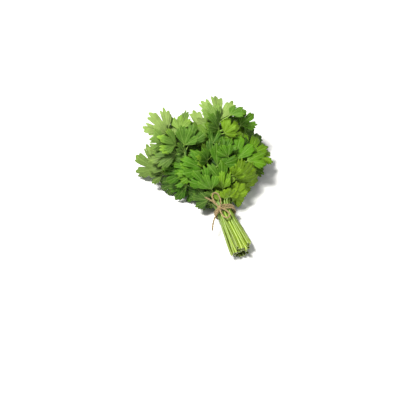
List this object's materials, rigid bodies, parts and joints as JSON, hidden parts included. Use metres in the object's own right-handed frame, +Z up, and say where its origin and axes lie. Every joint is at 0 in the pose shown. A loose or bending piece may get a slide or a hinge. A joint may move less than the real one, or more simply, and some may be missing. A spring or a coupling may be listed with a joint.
{
  "type": "coriander bunch",
  "caption": "Tied bunch of fresh coriander lying on its side: leafy stalks fanning out above a jute twine bow, cut ends below.",
  "frame": {"origin": "on the surface that the bunch lies on, under the middle of its box", "axes": "+Z up; +Y along the bunch, from the cut ends towards the leaves; +X to the right, seen from the cut ends"},
  "size_m": [0.2156, 0.2556, 0.111],
  "materials": {
    "leaf_pale": "thin fresh leaf, pale yellow-green, satin, lets light through",
    "leaf_fresh": "thin fresh leaf, mid green with pale veins, satin, lets light through",
    "leaf_deep": "thin fresh leaf, deep green with pale veins, satin, lets light through",
    "twine": "two-ply jute twine, tan, hairy, matte"
  },
  "bodies": {
    "root": {"leafy_stalk_01": "leaf_fresh", "leafy_stalk_02": "leaf_pale", "leafy_stalk_03": "leaf_pale", "leafy_stalk_04": "leaf_fresh", "leafy_stalk_05": "leaf_pale", "leafy_stalk_06": "leaf_fresh", "leafy_stalk_07": "leaf_pale", "leafy_stalk_08": "leaf_fresh", "leafy_stalk_09": "leaf_fresh", "leafy_stalk_10": "leaf_fresh", "leafy_stalk_11": "leaf_fresh", "leafy_stalk_12": "leaf_fresh", "leafy_stalk_13": "leaf_fresh", "leafy_stalk_14": "leaf_fresh", "leafy_stalk_15": "leaf_fresh", "leafy_stalk_16": "leaf_fresh", "leafy_stalk_17": "leaf_deep", "leafy_stalk_18": "leaf_fresh", "leafy_stalk_19": "leaf_deep", "leafy_stalk_20": "leaf_fresh", "leafy_stalk_21": "leaf_deep", "leafy_stalk_22": "leaf_fresh", "leafy_stalk_23": "leaf_fresh", "leafy_stalk_24": "leaf_deep", "leafy_stalk_25": "leaf_deep", "leafy_stalk_26": "leaf_deep", "leafy_stalk_27": "leaf_fresh", "leafy_stalk_28": "leaf_deep", "leafy_stalk_29": "leaf_deep", "leafy_stalk_30": "leaf_deep", "leafy_stalk_31": "leaf_deep", "leafy_stalk_32": "leaf_deep", "leafy_stalk_33": "leaf_deep", "leafy_stalk_34": "leaf_deep", "leafy_stalk_35": "leaf_deep", "leafy_stalk_36": "leaf_deep", "leafy_stalk_37": "leaf_deep", "twine_tie": "twine"}
  },
  "joints": []
}
